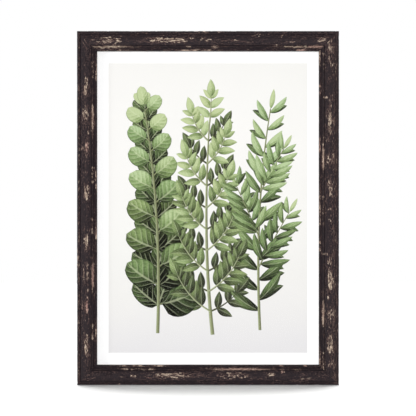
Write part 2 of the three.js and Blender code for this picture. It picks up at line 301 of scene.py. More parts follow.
class Surface(Nodes):
    """A node material, built up from its pattern to its finish."""

    def __init__(self, name):
        self.material = bpy.data.materials.new(name)
        super().__init__(self.material)
        self.shader = self.tree.nodes["Principled BSDF"]

    def object_place(self):
        return self.node("TexCoord", {}).outputs["Object"]

    def map_place(self, name):
        return self.node("UVMap", {}, uv_map=name).outputs["UV"]

    def attribute(self, name):
        return self.node("Attribute", {}, attribute_name=name).outputs["Fac"]

    def axes(self, place):
        return self.node("SeparateXYZ", {0: place}).outputs

    def stretched(self, place, scale):
        return self.node("Mapping", {"Vector": place, "Scale": scale}).outputs[0]

    def noise(self, place, scale, detail, roughness):
        inputs = {"Vector": place, "Scale": scale, "Detail": detail, "Roughness": roughness}
        return self.node("TexNoise", inputs).outputs[0]

    def math(self, how, first, second=0.0):
        return self.node("Math", {0: first, 1: second}, operation=how).outputs[0]

    def plus(self, first, second):
        return self.math("ADD", first, second)

    def minus(self, first, second):
        return self.math("SUBTRACT", first, second)

    def times(self, first, second):
        return self.math("MULTIPLY", first, second)

    def mean(self, first, second):
        return self.plus(self.times(first, 0.5), self.times(second, 0.5))

    def levels(self, value, low, high, start=0.0, end=1.0):
        inputs = {"Value": value, "From Min": low, "From Max": high, "To Min": start, "To Max": end}
        return self.node("MapRange", inputs, interpolation_type="SMOOTHSTEP").outputs[0]

    def ramp(self, value, *stops):
        node = self.node("ValToRGB", {0: value})
        elements = node.color_ramp.elements
        while len(elements) < len(stops):
            elements.new(1.0)
        for element, (position, colour) in zip(elements, stops):
            element.position = position
            element.color = (*colour, 1)
        return node.outputs[0]

    def mix(self, share, below, above, how="MIX"):
        below, above = (v if isinstance(v, bpy.types.NodeSocket) else (*v, 1) for v in (below, above))
        inputs = {0: share, 6: below, 7: above}
        return self.node("Mix", inputs, data_type="RGBA", blend_type=how).outputs[2]

    def bump(self, height, distance, strength):
        inputs = {"Height": height, "Distance": distance, "Strength": strength}
        self.put(self.shader.inputs["Normal"], self.node("Bump", inputs).outputs[0])

    def finish(self, **values):
        for name, value in values.items():
            socket = self.shader.inputs[name.replace("_", " ").title().replace("Ior", "IOR")]
            if name == "base_color" and not isinstance(value, bpy.types.NodeSocket):
                value = (*value, 1)
            self.put(socket, value)
        return self.material


def srgb(red, green, blue):
    """Turns a colour as a screen shows it, from 0 to 255, into light."""
    shares = (red / 255, green / 255, blue / 255)
    return tuple(c / 12.92 if c <= 0.04045 else ((c + 0.055) / 1.055) ** 2.4 for c in shares)


def distressed_wood():
    """Near-black brown paint over a brown undercoat, worn through to tan and pinkish wood, with painted
    shade in its grooves.
    """
    s = Surface("distressed_wood")
    grain = s.map_place("grain")
    fibres = s.noise(s.stretched(grain, (0.05, 1, 1)), 1500, 4, 0.65)
    streaks = s.noise(s.stretched(grain, (0.14, 1, 1)), 620, 5, 0.7)
    specks = s.noise(s.stretched(grain, (0.65, 1, 1)), 640, 3, 0.6)
    blotches = s.noise(s.stretched(grain, (0.5, 1, 1)), 560, 4, 0.65)
    rubbed = s.noise(s.stretched(grain, (0.5, 1, 1)), 90, 3, 0.6)
    names = ("bare", "rosy", "grime", "painted", "joint")
    bare, rosy, grime, painted, joint = (s.attribute(name) for name in names)

    scratches = s.minus(s.mean(streaks, specks), 0.5)
    scratches = s.times(scratches, s.levels(rubbed, 0.44, 0.62, 0.25, 2.2))
    paint = s.ramp(
        s.plus(scratches, 0.5),
        (0.36, srgb(26, 20, 23)), (0.5, srgb(42, 36, 39)),
        (0.6, srgb(62, 51, 51)), (0.7, srgb(98, 79, 73)),
    )
    # Painted shade: the paint turns near-black in the grooves, by the lip and on the outer edges
    paint = s.mix(s.times(grime, 0.8), paint, srgb(20, 13, 17))

    cut = s.mean(fibres, blotches)
    tan = s.ramp(cut, (0.36, srgb(88, 71, 66)), (0.48, srgb(150, 131, 116)), (0.6, srgb(218, 203, 181)))
    pink = s.ramp(cut, (0.36, srgb(92, 66, 64)), (0.48, srgb(150, 114, 108)), (0.6, srgb(204, 170, 154)))
    wood = s.mix(rosy, tan, pink)
    edge = s.plus(bare, s.levels(cut, 0.36, 0.64, -0.26, 0.2))
    undercoat = s.mix(s.levels(edge, 0.06, 0.34), paint, srgb(80, 63, 60))
    worn = s.mix(s.levels(edge, 0.34, 0.85), undercoat, wood)

    bands = s.noise(s.stretched(grain, (0.02, 1, 1)), 330, 3, 0.6)
    raw = s.ramp(
        s.mean(fibres, bands),
        (0.38, srgb(158, 121, 80)), (0.5, srgb(201, 168, 124)), (0.62, srgb(224, 198, 158)),
    )
    raw = s.mix(s.times(joint, 0.75), raw, srgb(92, 66, 42))
    covered = s.plus(painted, s.levels(streaks, 0.35, 0.65, -0.3, 0.3))
    colour = s.mix(s.levels(covered, 0.45, 0.55), raw, worn)

    s.bump(s.plus(fibres, s.times(streaks, 0.6)), 0.00008, 0.7)
    roughness = s.levels(bare, 0.2, 0.7, 0.55, 0.85)
    return s.finish(base_color=colour, roughness=roughness, specular_ior_level=0.12)


def paper(name, colour):
    """Heavy art paper with a slight tooth."""
    s = Surface(name)
    place = s.object_place()
    s.bump(s.noise(place, 2600, 2, 0.6), 0.00003, 0.25)
    return s.finish(base_color=colour(s, place), roughness=0.85, specular_ior_level=0.15)


def bare_margin(s, place):
    return s.ramp(s.noise(place, 900, 2, 0.6), (0.3, (0.945, 0.945, 0.945)), (0.7, (0.96, 0.96, 0.96)))


def pale_field(s, place):
    """A pale warm tint, lightest above the middle and greyer towards the bottom right."""
    axes = s.axes(place)
    height = s.minus(axes["Z"], MIDDLE_Z + 90 * MM)
    fall = s.times(s.times(height, height), 13)
    fall = s.plus(fall, s.times(s.plus(axes["X"], 0.12), 0.4))
    fall = s.plus(fall, s.levels(s.noise(place, 9, 2, 0.5), 0.3, 0.7, -0.05, 0.05))
    return s.ramp(
        fall,
        (0, (0.806, 0.797, 0.776)), (0.25, (0.780, 0.775, 0.750)),
        (0.57, (0.750, 0.742, 0.722)), (1, (0.690, 0.682, 0.690)),
    )


def printed_leaf(name, veins, slant, vein_light):
    """Green inks for one kind of leaf, with a light midrib and sweeping side veins."""
    s = Surface(name)
    across, along = s.axes(s.map_place("leaf"))[:2]
    side = s.times(s.minus(across, 0.5), 2)
    reach = s.math("ABSOLUTE", side)
    phase = s.times(s.minus(along, s.times(reach, slant)), veins)
    between = s.math("FRACT", phase)
    nearest = s.math("MINIMUM", between, s.minus(1, between))
    vein = s.times(s.levels(nearest, 0.02, 0.13, 1, 0), s.levels(reach, 0.55, 1, 1, 0.2))
    midrib = s.levels(reach, 0.03, 0.11, 1, 0)

    brush = s.noise(s.object_place(), 420, 3, 0.6)
    tone = s.times(s.attribute("tone"), 0.86)
    lit_half = s.times(s.attribute("lit"), s.levels(side, -0.5, 0.5, -1, 1))
    lit = s.times(lit_half, 0.11)
    quilt = s.levels(between, 0, 1, 0.09, -0.07)
    rising = s.levels(along, 0, 0.6, -0.24, 0.06)
    brushed = s.levels(brush, 0.3, 0.7, -0.07, 0.07)
    for part in (lit, quilt, brushed, rising, 0.12):
        tone = s.plus(tone, part)
    green = s.ramp(
        tone,
        (0.04, (0.005, 0.005, 0.003)), (0.22, (0.026, 0.030, 0.015)),
        (0.45, (0.104, 0.142, 0.053)), (0.68, (0.240, 0.315, 0.124)),
        (0.94, (0.488, 0.555, 0.302)),
    )
    cool = s.mix(1.0, green, (0.86, 0.97, 1.0), "MULTIPLY")
    green = s.mix(s.attribute("cool"), green, cool)
    pale = s.mix(0.5, green, (0.60, 0.66, 0.42))
    drawn = s.mix(s.times(vein, vein_light), green, pale)
    drawn = s.mix(s.times(midrib, 0.8), drawn, pale)
    rim = s.times(s.levels(reach, 0.86, 0.97), 0.75)
    inked = s.mix(1.0, drawn, (0.42, 0.45, 0.42), "MULTIPLY")
    colour = s.mix(rim, drawn, inked)
    return s.finish(base_color=colour, roughness=0.8, specular_ior_level=0.15)


def printed_stem():
    """A drawn stem, rounded by a light side and a dark one."""
    s = Surface("printed_stem")
    round_side = s.levels(s.axes(s.map_place("leaf"))["X"], 0, 1, 1, 0)
    speckle = s.noise(s.object_place(), 900, 3, 0.6)
    shade = s.plus(0.55, s.times(round_side, 0.5))
    tone = s.times(s.attribute("tone"), shade)
    tone = s.plus(tone, s.levels(speckle, 0.3, 0.7, -0.05, 0.05))
    colour = s.ramp(
        tone,
        (0, (0.006, 0.006, 0.004)), (0.35, (0.095, 0.102, 0.050)),
        (0.7, (0.270, 0.300, 0.160)), (1, (0.500, 0.540, 0.360)),
    )
    return s.finish(base_color=colour, roughness=0.8, specular_ior_level=0.15)


def low_reflection_glass():
    """Clear picture glass, whose outer side mirrors a little at a slant."""
    s = Surface("picture_glass")
    gloss = s.node("BsdfGlossy", {"Color": WHITE, "Roughness": 0.03}).outputs[0]
    clear = s.node("BsdfTransparent", {"Color": WHITE}).outputs[0]
    outer = s.minus(1, s.node("NewGeometry", {}).outputs["Backfacing"])
    share = s.times(s.node("Fresnel", {"IOR": COATED_GLASS_IOR}).outputs[0], outer)
    both = s.node("MixShader", {0: share, 1: clear, 2: gloss}).outputs[0]
    s.put(s.tree.nodes["Material Output"].inputs["Surface"], both)
    s.tree.nodes.remove(s.shader)
    return s.material


def fibreboard():
    """Raw brown fibreboard with pressed fibres lying every way."""
    s = Surface("fibreboard")
    place = s.object_place()
    fibres = s.noise(s.stretched(place, (1, 1, 0.75)), 1700, 5, 0.75)
    flecks = s.noise(s.stretched(place, (0.6, 1, 1)), 520, 3, 0.6)
    clouds = s.noise(place, 26, 3, 0.6)
    pressed = s.plus(s.times(fibres, 0.4), s.times(flecks, 0.25))
    colour = s.ramp(
        s.plus(pressed, s.times(clouds, 0.35)),
        (0.36, srgb(132, 101, 71)), (0.5, srgb(160, 127, 94)), (0.64, srgb(182, 151, 117)),
    )
    s.bump(fibres, 0.00008, 0.5)
    return s.finish(base_color=colour, roughness=0.88, specular_ior_level=0.2)


def plated_steel(name, dark, light, roughness):
    """Plated sheet steel with rolling marks, dulled in patches."""
    s = Surface(name)
    place = s.object_place()
    rolled = s.noise(s.stretched(place, (1, 1, 0.06)), 3200, 3, 0.6)
    patches = s.noise(place, 260, 3, 0.6)
    colour = s.ramp(s.mean(rolled, patches), (0.35, dark), (0.65, light))
    s.bump(rolled, 0.00002, 0.4)
    dulled = s.levels(patches, 0.35, 0.7, roughness, roughness + 0.18)
    return s.finish(base_color=colour, roughness=dulled, metallic=1.0)


def black_rubber():
    """Matte black rubber, greyed a little by dust."""
    s = Surface("black_rubber")
    place = s.object_place()
    dust = s.noise(place, 500, 4, 0.7)
    colour = s.ramp(dust, (0.4, srgb(24, 24, 25)), (0.7, srgb(52, 51, 50)))
    s.bump(s.noise(place, 2400, 2, 0.5), 0.00004, 0.5)
    return s.finish(base_color=colour, roughness=0.78, specular_ior_level=0.35)


def edit():
    bpy.ops.object.mode_set(mode="EDIT")
    bpy.ops.mesh.select_mode(type="VERT")


def leave_edit():
    bpy.ops.object.mode_set(mode="OBJECT")


def deselect_all():
    bpy.ops.object.select_all(action="DESELECT")


def select_mesh():
    bpy.ops.mesh.select_all(action="SELECT")


def extrude(move):
    bpy.ops.mesh.extrude_region_move(TRANSFORM_OT_translate={"value": move})


def face_outwards():
    select_mesh()
    bpy.ops.mesh.normals_make_consistent(inside=False)


def pick(kind, test):
    """In edit mode, selects only the vertices, edges or faces that pass the test."""
    bpy.ops.mesh.select_mode(type=kind)
    bpy.ops.mesh.select_all(action="DESELECT")
    mesh = bmesh.from_edit_mesh(bpy.context.object.data)
    for element in {"VERT": mesh.verts, "EDGE": mesh.edges, "FACE": mesh.faces}[kind]:
        element.select_set(test(element))
    bmesh.update_edit_mesh(bpy.context.object.data)


def duplicate(source):
    piece = source.copy()
    piece.data = source.data.copy()
    bpy.context.collection.objects.link(piece)
    return piece


def dress(piece, name, material, slot, *nodes):
    piece.name = name
    piece.data.name = name
    if material:
        piece.data.materials.clear()
        piece.data.materials.append(material)
    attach(piece, "root")
    if nodes:
        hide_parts(*nodes)


def curve_point(start, pull, end, t):
    return (1 - t) ** 2 * start + 2 * t * (1 - t) * pull + t * t * end


def curve_way(start, pull, end, t):
    return 2 * (1 - t) * (pull - start) + 2 * t * (end - pull)


def section_outline():
    """Points round the moulding's section in millimetres, closest together on its front."""
    here = np.zeros(2)
    points = [here]
    for step in SECTION:
        end = np.array(step[-2:], float)
        pull = np.array(step[:2], float) if len(step) == 4 else (here + end) / 2
        length = np.linalg.norm(pull - here) + np.linalg.norm(end - pull)
        fine = min(here[1], end[1]) >= FRONT_FROM
        count = max(1, round(length / (FINE_STEP if fine else COARSE_STEP)))
        points += [curve_point(here, pull, end, (i + 1) / count) for i in range(count)]
        here = end
    return np.array(points[:-1])


OUTLINE = section_outline()


def patchy(along, across, length, width, seed):
    """Smooth noise from 0 to 1 whose patches have this length and width."""
    table = np.random.default_rng(seed).random((256, 256))
    x, y = along / length, across / width
    column, row = np.floor(x).astype(int), np.floor(y).astype(int)
    x, y = x - column, y - row
    x, y = x * x * (3 - 2 * x), y * y * (3 - 2 * y)
    column, row = column % 256, row % 256
    right, above = (column + 1) % 256, (row + 1) % 256
    low = table[column, row] * (1 - x) + table[right, row] * x
    high = table[column, above] * (1 - x) + table[right, above] * x
    return low * (1 - y) + high * y


def smooth(value, low, high):
    share = np.clip((value - low) / (high - low), 0, 1)
    return share * share * (3 - 2 * share)


def worn_marks(side, seed):
    """Every mark on one rail: the ones on its front, and some on its outer side."""
    marks = list(WORN_FACE[side])
    for place, table in ((ON_RIDGE, WORN_RIDGE), (ON_LIP, WORN_LIP)):
        marks += [(start, end, *place, *look) for start, end, *look in table[side]]
    marks = [mark if len(mark) == 6 else (*mark, PLAIN_PINK) for mark in marks]
    rng = np.random.default_rng(seed)
    for start in np.arange(20, 430, 44):
        start = start + rng.uniform(-14, 14)
        near = rng.uniform(-17, -3)
        end = start + rng.uniform(9, 32)
        far = near + rng.uniform(1.5, 5)
        marks.append((start, end, near, far, rng.uniform(0.4, 0.9), 0.2))
    return marks


def bump_at(value, place, wide):
    """A smooth rise to 1 at a place, of this width."""
    return np.exp(-((value - place) / wide) ** 2)


def patchwork(kinds, along, around, seed):
    """Patchy noises of several sizes, added up by their shares."""
    return sum(
        share * patchy(along, around, length, width, seed + order)
        for order, (length, width, share) in enumerate(kinds)
    )


def wear(side, along, across, around, seed):
    """How bare the wood is at each vertex, and how pink, both from 0 to 1."""
    mask, halo, rosy = (np.zeros(len(along)) for _ in range(3))
    for start, end, near, far, strength, pink in worn_marks(side, seed):
        off_along = (along - (start + end) / 2) / ((end - start) / 2)
        off_across = (across - (near + far) / 2) / ((far - near) / 2)
        here = np.clip(1.3 - 0.75 * (off_along ** 4 + off_across ** 2), 0, 1)
        mask = np.maximum(mask, strength * here)
        halo = np.maximum(halo, strength * np.exp(-0.35 * (off_along ** 2 + off_across ** 2)))
        rosy = np.maximum(rosy, pink * here)
    slant = along + SLANT * patchy(along, around, *SLANTS, seed + 9)
    streaks = patchwork(STREAKS, slant, around, seed + 1)
    scuffs = patchwork(SCUFFS, slant, around, seed + 10)
    # Fine scuffs in a band along the rail; on the left rail's outer bead this band is also a painted
    # highlight
    place, wide, strength = SCUFFS_AND_HIGHLIGHT[side]
    dulled = strength * bump_at(across, place, wide)
    faint = smooth(scuffs + 0.4 * halo + dulled, *SCUFF_LEVELS) * SCUFF_STRENGTH
    bare = smooth(0.92 * mask + (streaks - 0.5) * BREAK_UP, *BARE_LEVELS)
    bare = np.maximum(bare * smooth(mask, 0.0, 0.3), faint)
    dashes = patchy(slant, around, *DASHES[:2], seed + 2)
    for start, near, end, far in SCRATCHES[side]:
        way = np.array((end - start, far - near))
        share = ((along - start) * way[0] + (across - near) * way[1]) / way.dot(way)
        share = np.clip(share, 0, 1)
        off = np.hypot(along - start - share * way[0], across - near - share * way[1])
        bare = np.maximum(bare, bump_at(off, 0, SCRATCH_WIDTH) * (0.25 + 0.4 * dashes))
    return bare, rosy


def relief(along, across, around, bare, seed):
    """How deep each vertex lies under the new moulding's surface, in millimetres."""
    pores = smooth(patchy(along, around, *PORES, seed + 4), 0.5, 0.95) * PORE_DEPTH
    worn = bare * (0.5 + 0.5 * patchy(along, around, *FIBRES, seed + 5)) * BARE_DEPTH
    dents = smooth(patchy(along, around, *DENTS, seed + 6), 0.55, 0.95) * DENT_DEPTH
    chips = smooth(patchy(along, np.zeros(len(along)), CHIP_LENGTH, 1, seed + 7), 0.8, 0.98)
    return pores + worn + dents + bump_at(across, *OUTER_EDGE) * chips * CHIP_DEPTH


def draw_bar(corner, along, inward, length):
    """Draws the section at one end of a rail, fills it, and draws it out along the rail."""
    deselect_all()
    points = [corner + MM * (inward * float(u) + TO_VIEWER * float(v)) for u, v in OUTLINE]
    bpy.ops.mesh.primitive_plane_add(size=MM, location=points[0])
    bpy.ops.object.transform_apply()
    edit()
    bpy.ops.mesh.merge(type="CENTER")
    for here, there in zip(points, points[1:]):
        extrude(there - here)
    select_mesh()
    bpy.ops.mesh.edge_face_add()
    extrude(along * length)
    face_outwards()


def mitre(corner, along, inward, length):
    """Cuts both ends of the bar at 45 degrees."""
    gap = along * (MITRE_GAP * MM)
    for place, plane in ((corner + gap, inward - along), (corner + along * length - gap, inward + along)):
        select_mesh()
        bpy.ops.mesh.bisect(plane_co=place, plane_no=plane, use_fill=True, clear_outer=True)


def cut_lengthwise(along, length):
    """Cuts the bar across many times, so that its faces are fine enough for the wear."""
    for run in (length / 2, length / 2 / (LENGTHWISE_CUTS + 1)):
        pick("EDGE", lambda edge: abs((edge.verts[1].co - edge.verts[0].co).dot(along)) > run)
        bpy.ops.mesh.subdivide(number_cuts=LENGTHWISE_CUTS)


def vertices_of(mesh):
    points = np.empty(len(mesh.vertices) * 3)
    mesh.vertices.foreach_get("co", points)
    return points.reshape(-1, 3)


def note_values(mesh, **maps):
    for name, values in maps.items():
        values = np.broadcast_to(values, len(mesh.vertices)).astype(np.float32)
        mesh.attributes.new(name, "FLOAT", "POINT").data.foreach_set("value", values)


def note_places(mesh, name, places):
    mesh.uv_layers.new(name=name).data.foreach_set("uv", places.ravel())


def corners_of(mesh):
    """For each face corner, its vertex, its face and whether that face has more than four sides."""
    vertex = np.empty(len(mesh.loops), int)
    mesh.loops.foreach_get("vertex_index", vertex)
    sides = np.empty(len(mesh.polygons), int)
    mesh.polygons.foreach_get("loop_total", sides)
    face = np.repeat(np.arange(len(sides)), sides)
    return vertex, face, sides[face] > 4


def face_mean(values, face):
    return (np.bincount(face, values) / np.bincount(face))[face]


def map_rail(mesh, along, around, girth, length, offset):
    """Lays the rail out flat: in metres for its grain, and in strips for its baked colours."""
    vertex, face, is_end = corners_of(mesh)
    x, y = along[vertex] / length, around[vertex]
    # Faces from the section's last point to its first have the first one girth further on
    y = np.where(face_mean(y, face) - y > girth / 8, y + girth, y)
    note_places(mesh, "grain", np.column_stack((x * length * MM, y * MM + offset)))
    second = face_mean(x, face) > 0.5
    strip_x = STRIP_EDGE + (1 - 2 * STRIP_EDGE) * (2 * x - second)
    strip_y = STRIP_EDGE + STRIP_HEIGHT * y / girth + STRIP_PITCH * second
    end_x = ENDS_X + ENDS_PITCH * second + ENDS_SHRINK * np.clip(x - second, -ENDS_REACH, ENDS_REACH)
    end_y = ENDS_Y + ENDS_HEIGHT * y / girth
    placed = np.column_stack((np.where(is_end, end_x, strip_x), np.where(is_end, end_y, strip_y)))
    note_places(mesh, "OFBake", placed)


def paint_cover(on_front, along, inwards, forwards, around, seed):
    """How far the paint reaches: above a half it covers the wood."""
    ragged = patchy(along, around, *LARGE_RAGS, seed + 8)
    ragged = PAINT_OVERLAP * (ragged + 0.5 * patchy(along, around, *SMALL_RAGS, seed + 12))
    in_rabbet = forwards > RABBET_FLOOR - ON_SIDE
    from_paint = np.where(in_rabbet, RAIL_WIDTH - inwards, inwards)
    on_back = forwards < ON_SIDE
    wrapped = np.where(in_rabbet | on_back, 0.5 + (ragged - from_paint) / COARSE_STEP, 0)
    return np.where(on_front, 1, np.clip(wrapped, -1, 1))


# Painted shade across the rail, from 0 to 1, for its grooves, its lip and its outer edge
def grime_on(side, across):
    grime = np.zeros(len(across))
    for place, wide, strength in (*PAINTED_SHADE_BANDS, *EDGE_PAINTED_SHADE[side]):
        grime = np.maximum(grime, strength * bump_at(across, place, wide))
    return grime


def press_in(mesh, corner, ways, place, nearest, depth, length):
    """Moves each vertex into the wood by its depth, and keeps the mitres flat."""
    s, u, v = place
    forward = np.roll(OUTLINE, -1, 0) - np.roll(OUTLINE, 1, 0)
    forward /= np.linalg.norm(forward, axis=1)[:, None]
    share = (s - MITRE_GAP - u) / (length - 2 * MITRE_GAP - 2 * u)
    u = u + depth * forward[nearest, 1]
    v = v - depth * forward[nearest, 0]
    s = MITRE_GAP + u + share * (length - 2 * MITRE_GAP - 2 * u)
    pushes = (value[:, None] * np.array(way) for value, way in zip((s, u, v), ways))
    moved = np.array(corner) + MM * sum(pushes)
    mesh.vertices.foreach_set("co", moved.ravel())
    mesh.update()


def rail(side, corner, along, inward, length, order):
    """One rail of the moulding, mitred, cut fine, and worn."""
    draw_bar(corner, along, inward, length * MM)
    mitre(corner, along, inward, length * MM)
    cut_lengthwise(along, length * MM)
    leave_edit()
    piece = bpy.context.object
    mesh = piece.data
    seed = 100 * (order + 1)

    # Each vertex's place: s along the rail, u in from its outer side and v forward from its back
    ways = (along, inward, TO_VIEWER)
    points = vertices_of(mesh) - np.array(corner)
    s, u, v = (points @ np.array(way) / MM for way in ways)
    nearest = ((u[:, None] - OUTLINE[:, 0]) ** 2 + (v[:, None] - OUTLINE[:, 1]) ** 2).argmin(1)
    steps = np.linalg.norm(np.roll(OUTLINE, -1, 0) - OUTLINE, axis=1)
    around = np.concatenate(([0], np.cumsum(steps)[:-1]))[nearest]
    outer_side = u < ON_SIDE
    inner_side = u > RAIL_WIDTH - ON_SIDE
    across = np.where(inner_side, u + INNER_TOP - v, u)
    across = np.where(outer_side, v - OUTER_TOP, across)
    on_front = (v > FRONT_FROM) | outer_side | inner_side

    bare, rosy = wear(side, s, np.where(on_front, across, OFF_THE_FRONT), around, seed)
    painted = paint_cover(on_front, s, u, v, around, seed)
    joint = bump_at(np.minimum(s, length - s) - u, 0, JOINT_LINE)
    # Among these maps, the darkening of grooves and outer edges is painted shade
    note_values(mesh, bare=bare, rosy=rosy, grime=grime_on(side, across), painted=painted, joint=joint)
    map_rail(mesh, s, around, steps.sum(), length, order)
    depth = relief(s, across, around, bare, seed)
    press_in(mesh, corner, ways, (s, u, v), nearest, depth, length)
    bpy.ops.object.shade_smooth_by_angle(angle=SHARP_TURN)
    return piece


def rails(wood):
    width = round((RIGHT_X - LEFT_X) / MM)
    height = round((TOP_Z - BOTTOM_Z) / MM)
    sides = (
        ("top", (LEFT_X, BACK_Y, TOP_Z), RIGHT, -UP, width),
        ("right", (RIGHT_X, BACK_Y, TOP_Z), -UP, -RIGHT, height),
        ("bottom", (LEFT_X, BACK_Y, BOTTOM_Z), RIGHT, UP, width),
        ("left", (LEFT_X, BACK_Y, TOP_Z), -UP, RIGHT, height),
    )
    for order, (side, corner, along, inward, length) in enumerate(sides):
        piece = rail(side, Vector(corner), along, inward, length, order)
        dress(piece, "moulding_" + side, wood, "distressed_wood", "rail_" + side)


def printed_sheet():
    """The sheet of paper, whose front has the printed field as a face of its own."""
    low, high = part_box("print_sheet")
    thick = PAPER_THICKNESS * MM
    centre = Vector((0, high[1] - thick, MIDDLE_Z))
    margin = high[0] - FIELD_HALF_WIDTH * MM
    deselect_all()
    bpy.ops.mesh.primitive_cube_add(size=1)
    piece = bpy.context.object
    piece.dimensions = (high[0] - low[0], thick, high[2] - low[2])
    piece.location = centre + Vector((0, thick / 2, 0))
    bpy.ops.object.transform_apply()
    edit()
    pick("FACE", lambda face: face.normal.y < -0.9)
    bpy.ops.mesh.inset(thickness=margin)
    stretch = FIELD_HALF_HEIGHT * MM / ((high[2] - low[2]) / 2 - margin)
    bpy.ops.transform.resize(value=(1, 1, stretch), center_override=centre)
    pick("EDGE", lambda edge: abs((edge.verts[0].co - edge.verts[1].co).y) > 0.5 * thick)
    bpy.ops.mesh.bevel(offset=PAPER_EDGE * MM, segments=3)
    leave_edit()
    dress(piece, "printed_sheet", None, "printed_paper", "print_sheet")
    piece.data.materials.append(paper("white_paper", bare_margin))
    piece.data.materials.append(paper("tinted_paper", pale_field))
    for face in piece.data.polygons:
        face.material_index = int((face.center - centre).length < MM)


def blade(name, rows, columns, half_width, ink):
    """A flat leaf, 1 long and up to 2 * half_width wide, with its stalk at the origin."""
    deselect_all()
    bpy.ops.mesh.primitive_grid_add(
        x_subdivisions=columns, y_subdivisions=rows, size=1, location=(0, 0.5, 0)
    )
    bpy.ops.object.transform_apply()
    piece = bpy.context.object
    piece.name = name
    piece.data.uv_layers[0].name = "leaf"
    edit()
    for row in range(rows + 1):
        along = row / rows
        pick("VERT", lambda vertex: abs(vertex.co.y - along) < 0.1 / rows)
        wide = 2 * half_width(along)
        bpy.ops.transform.resize(value=(wide, 1, 1), center_override=(0, along, 0))
    select_mesh()
    bpy.ops.mesh.remove_doubles(threshold=1e-5)
    extrude((0, 0, 1))
    face_outwards()
    pick("FACE", lambda face: face.normal.z < -0.5)
    bpy.ops.mesh.dissolve_faces()
    leave_edit()
    piece.data.materials.append(ink)
    return piece


def stroke(kind, start, end, bend, wide, **look):
    """One leaf or stem of the design, in millimetres, bent sideways by a share of its length."""
    start, end = np.array(start, float), np.array(end, float)
    way = end - start
    pull = (start + end) / 2 + bend * np.array((way[1], -way[0]))
    return bent_stroke(kind, (start, pull, end), wide, **look)


def bent_stroke(kind, course, wide, **look):
    """A stroke along a start, a pull and an end, this wide at the start and at the end."""
    return {"kind": kind, "course": course, "wide": wide, "lean": 0, "cool": 0.3, "lit": -1, **look}


def spots_along(one):
    """A few places along a stroke, with its half width at each."""
    t = np.linspace(0.04, 0.96, 9)[:, None]
    places = curve_point(*one["course"], t)
    return places, np.full(len(t), max(one["wide"]) / 2) * (0.25 + 0.75 * np.sin(np.pi * t[:, 0]))


def stack(strokes):
    """Gives each stroke a layer of ink over the earlier ones that it crosses."""
    for i, one in enumerate(strokes):
        one["layer"] = 0
        here, reach = spots_along(one)
        for other in strokes[:i]:
            there, far = spots_along(other)
            apart = np.linalg.norm(here[:, None] - there[None], axis=2)
            if (apart < reach[:, None] + far[None]).any():
                one["layer"] = max(one["layer"], other["layer"] + 1)
    return 1 + max(one["layer"] for one in strokes)


def lay(one, tile, tiles, front, step):
    """Copies the stroke's blade, bends it along the stroke, and lays it on the paper."""
    piece = duplicate(one["kind"])
    mesh = piece.data
    across, along, height = vertices_of(mesh).T
    t = along[:, None]
    middle = curve_point(*one["course"], t)
    way = curve_way(*one["course"], t)
    way /= np.linalg.norm(way, axis=1)[:, None]
    side = across * (one["wide"][0] + (one["wide"][1] - one["wide"][0]) * along)
    side *= 1 + one["lean"] * np.sign(across)
    place = middle + side[:, None] * np.column_stack((way[:, 1], -way[:, 0]))
    forward = front + (one["layer"] * step + height * INK_THICKNESS) * MM
    points = np.column_stack((place[:, 0] * MM, -forward, MIDDLE_Z + place[:, 1] * MM))
    mesh.vertices.foreach_set("co", points.ravel())
    note_values(mesh, tone=one["tone"], cool=one["cool"], lit=one["lit"])

    vertex, face = corners_of(mesh)[:2]
    drawn = np.empty(len(vertex) * 2)
    mesh.uv_layers["leaf"].data.foreach_get("uv", drawn)
    top = np.bincount(face, height[vertex])[face] >= np.bincount(face)[face] - 0.01
    size = np.where(top, TILE_TOP, TILE_BACK)[:, None]
    inset = np.where(top, 2 * TILE_EDGE, TILE_EDGE)[:, None]
    spot = np.array((tile % tiles, tile // tiles)) + inset
    note_places(mesh, "OFBake", (spot + drawn.reshape(-1, 2) * size) / tiles)
    mesh.update()
    return piece


def print_sprig(name, strokes, front):
    """Prints one sprig as thin layers of ink, joined into one piece."""
    layers = stack(strokes)
    step = min(INK_LAYER, INK_DEPTH / layers)
    tiles = math.ceil(math.sqrt(len(strokes)))
    copies = [lay(one, i, tiles, front, step) for i, one in enumerate(strokes)]
    deselect_all()
    for copy in copies:
        copy.select_set(True)
    bpy.context.view_layer.objects.active = copies[0]
    bpy.ops.object.join()
    dress(bpy.context.object, name, None, "printed_paper", "print_sheet")


def tone_at(height, draw, share=1.0):
    """The inks are dark at a sprig's foot and light at its top."""
    return share * np.clip(0.2 + 0.78 * (height + 160) / 320 + draw.uniform(-0.16, 0.14), 0, 1.05)


def aimed(start, angle, length):
    """The place that lies this far from the start, at an angle from upright in degrees."""
    turn = math.radians(angle)
    return np.array(start) + length * np.array((math.sin(turn), math.cos(turn)))


def heading(course, t):
    """Which way a curve goes, in degrees from upright."""
    return math.degrees(math.atan2(*curve_way(*course, t)))


